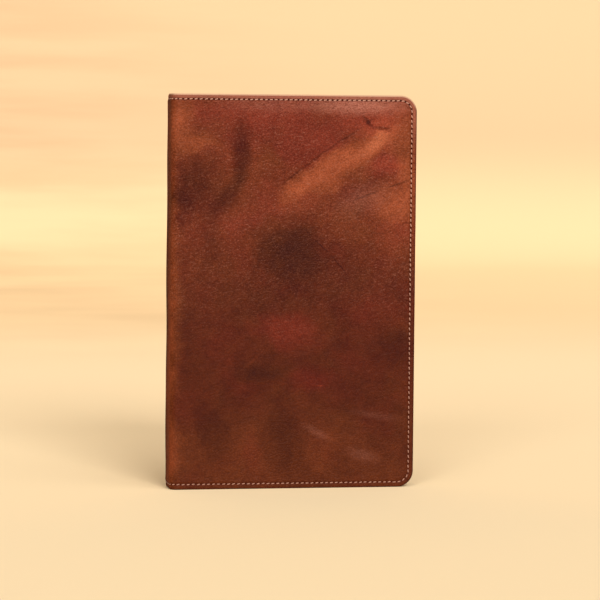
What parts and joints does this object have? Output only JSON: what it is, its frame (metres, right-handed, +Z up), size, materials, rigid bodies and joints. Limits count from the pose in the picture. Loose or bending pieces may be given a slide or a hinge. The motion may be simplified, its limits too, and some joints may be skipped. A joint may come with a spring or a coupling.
{
  "type": "leather notebook cover",
  "caption": "Closed slip-on leather cover with a stitched edge, a lining and inner pockets, holding a hardback notebook; opens flat about its spine.",
  "frame": {"origin": "on the floor under the middle of the closed, standing cover", "axes": "+Z up along the spine; -Y out of the front cover; -X out of the spine; +X towards the fore edge"},
  "size_m": [0.1414, 0.021, 0.224],
  "materials": {
    "outer_leather": "distressed, waxed, satin",
    "spine_leather": "distressed, waxed, satin",
    "lining_leather": "matt",
    "pocket_leather": "satin",
    "thread": "waxed",
    "book_cloth": "matt",
    "endpaper": "uncoated paper",
    "pages": "uncoated paper"
  },
  "bodies": {
    "back_cover": {"back_panel": "outer_leather", "back_lining": "lining_leather", "back_pocket": "pocket_leather", "back_stitching": "thread", "notebook_back_board": "book_cloth", "back_pastedown": "endpaper", "back_flyleaf": "endpaper", "back_pages": "pages"},
    "spine": {"spine_panel": "spine_leather", "spine_lining": "lining_leather", "spine_stitching": "thread", "notebook_spine_strip": "book_cloth"},
    "front_cover": {"front_panel": "outer_leather", "front_lining": "lining_leather", "front_pocket": "pocket_leather", "front_stitching": "thread", "notebook_front_board": "book_cloth", "front_pastedown": "endpaper"},
    "page_block_front": {"front_flyleaf": "endpaper", "front_pages": "pages"}
  },
  "joints": [
    {"name": "back_fold", "type": "hinge", "parent": "back_cover", "child": "spine", "pos_m": [-0.06905, 0.00885, 0.112], "axis": [0, 0, -1], "range_deg": [0, 90]},
    {"name": "front_fold", "type": "hinge", "parent": "spine", "child": "front_cover", "pos_m": [-0.06905, -0.00885, 0.112], "axis": [0, 0, -1], "range_deg": [0, 90]},
    {"name": "page_fold", "type": "hinge", "parent": "back_cover", "child": "page_block_front", "pos_m": [-0.0668, 0, 0.112], "axis": [0, 0, -1], "range_deg": [0, 180]}
  ],
  "couplings": [
    {"joint": "front_fold", "follows": "back_fold", "ratio": 1},
    {"joint": "page_fold", "follows": "back_fold", "ratio": 2}
  ]
}
